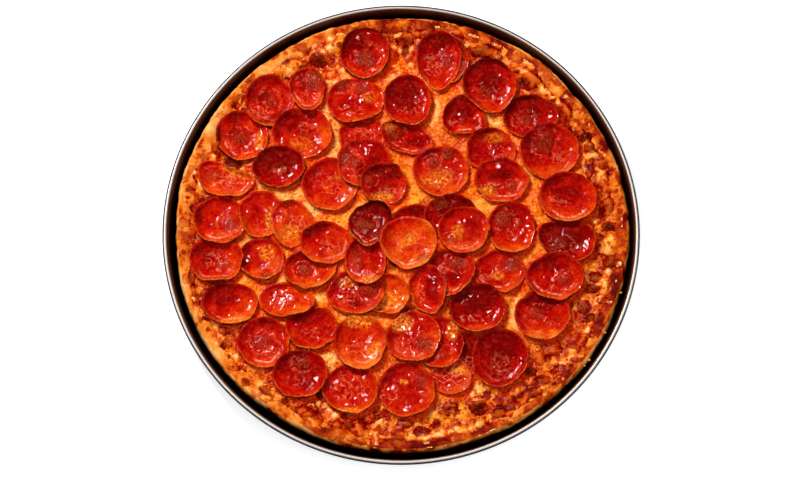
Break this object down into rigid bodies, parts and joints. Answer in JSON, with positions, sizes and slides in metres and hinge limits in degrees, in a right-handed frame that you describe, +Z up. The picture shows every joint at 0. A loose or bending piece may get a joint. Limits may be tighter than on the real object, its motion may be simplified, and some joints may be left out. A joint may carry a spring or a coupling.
{
  "type": "pepperoni pizza in a pan",
  "caption": "Whole uncut pepperoni pizza, baked in its round shallow steel pan with a rolled rim.",
  "frame": {"origin": "centre of the pan's flat underside", "axes": "+Z up out of the pan, +Y towards the far side of the picture, +X to its right"},
  "size_m": [0.356, 0.356, 0.0299],
  "materials": {
    "pan_steel": "bright rolled rim, inner wall baked dark brown",
    "crust": "baked dough, golden orange with browned patches",
    "cheese": "melted cheese, pale cream to orange, oily, browned blisters",
    "pepperoni": "oily cured sausage, deep red to orange red, darker rims"
  },
  "bodies": {
    "root": {"pan": "pan_steel", "crust": "crust", "cheese": "cheese", "pepperoni_01": "pepperoni", "pepperoni_02": "pepperoni", "pepperoni_03": "pepperoni", "pepperoni_04": "pepperoni", "pepperoni_05": "pepperoni", "pepperoni_06": "pepperoni", "pepperoni_07": "pepperoni", "pepperoni_08": "pepperoni", "pepperoni_09": "pepperoni", "pepperoni_10": "pepperoni", "pepperoni_11": "pepperoni", "pepperoni_12": "pepperoni", "pepperoni_13": "pepperoni", "pepperoni_14": "pepperoni", "pepperoni_15": "pepperoni", "pepperoni_16": "pepperoni", "pepperoni_17": "pepperoni", "pepperoni_18": "pepperoni", "pepperoni_19": "pepperoni", "pepperoni_20": "pepperoni", "pepperoni_21": "pepperoni", "pepperoni_22": "pepperoni", "pepperoni_23": "pepperoni", "pepperoni_24": "pepperoni", "pepperoni_25": "pepperoni", "pepperoni_26": "pepperoni", "pepperoni_27": "pepperoni", "pepperoni_28": "pepperoni", "pepperoni_29": "pepperoni", "pepperoni_30": "pepperoni", "pepperoni_31": "pepperoni", "pepperoni_32": "pepperoni", "pepperoni_33": "pepperoni", "pepperoni_34": "pepperoni", "pepperoni_35": "pepperoni", "pepperoni_36": "pepperoni", "pepperoni_37": "pepperoni", "pepperoni_38": "pepperoni", "pepperoni_39": "pepperoni", "pepperoni_40": "pepperoni", "pepperoni_41": "pepperoni", "pepperoni_42": "pepperoni", "pepperoni_43": "pepperoni", "pepperoni_44": "pepperoni", "pepperoni_45": "pepperoni", "pepperoni_46": "pepperoni", "pepperoni_47": "pepperoni", "pepperoni_48": "pepperoni", "pepperoni_49": "pepperoni", "pepperoni_50": "pepperoni", "pepperoni_51": "pepperoni", "pepperoni_52": "pepperoni", "pepperoni_53": "pepperoni", "pepperoni_54": "pepperoni", "pepperoni_55": "pepperoni", "pepperoni_56": "pepperoni", "pepperoni_57": "pepperoni"}
  },
  "joints": []
}
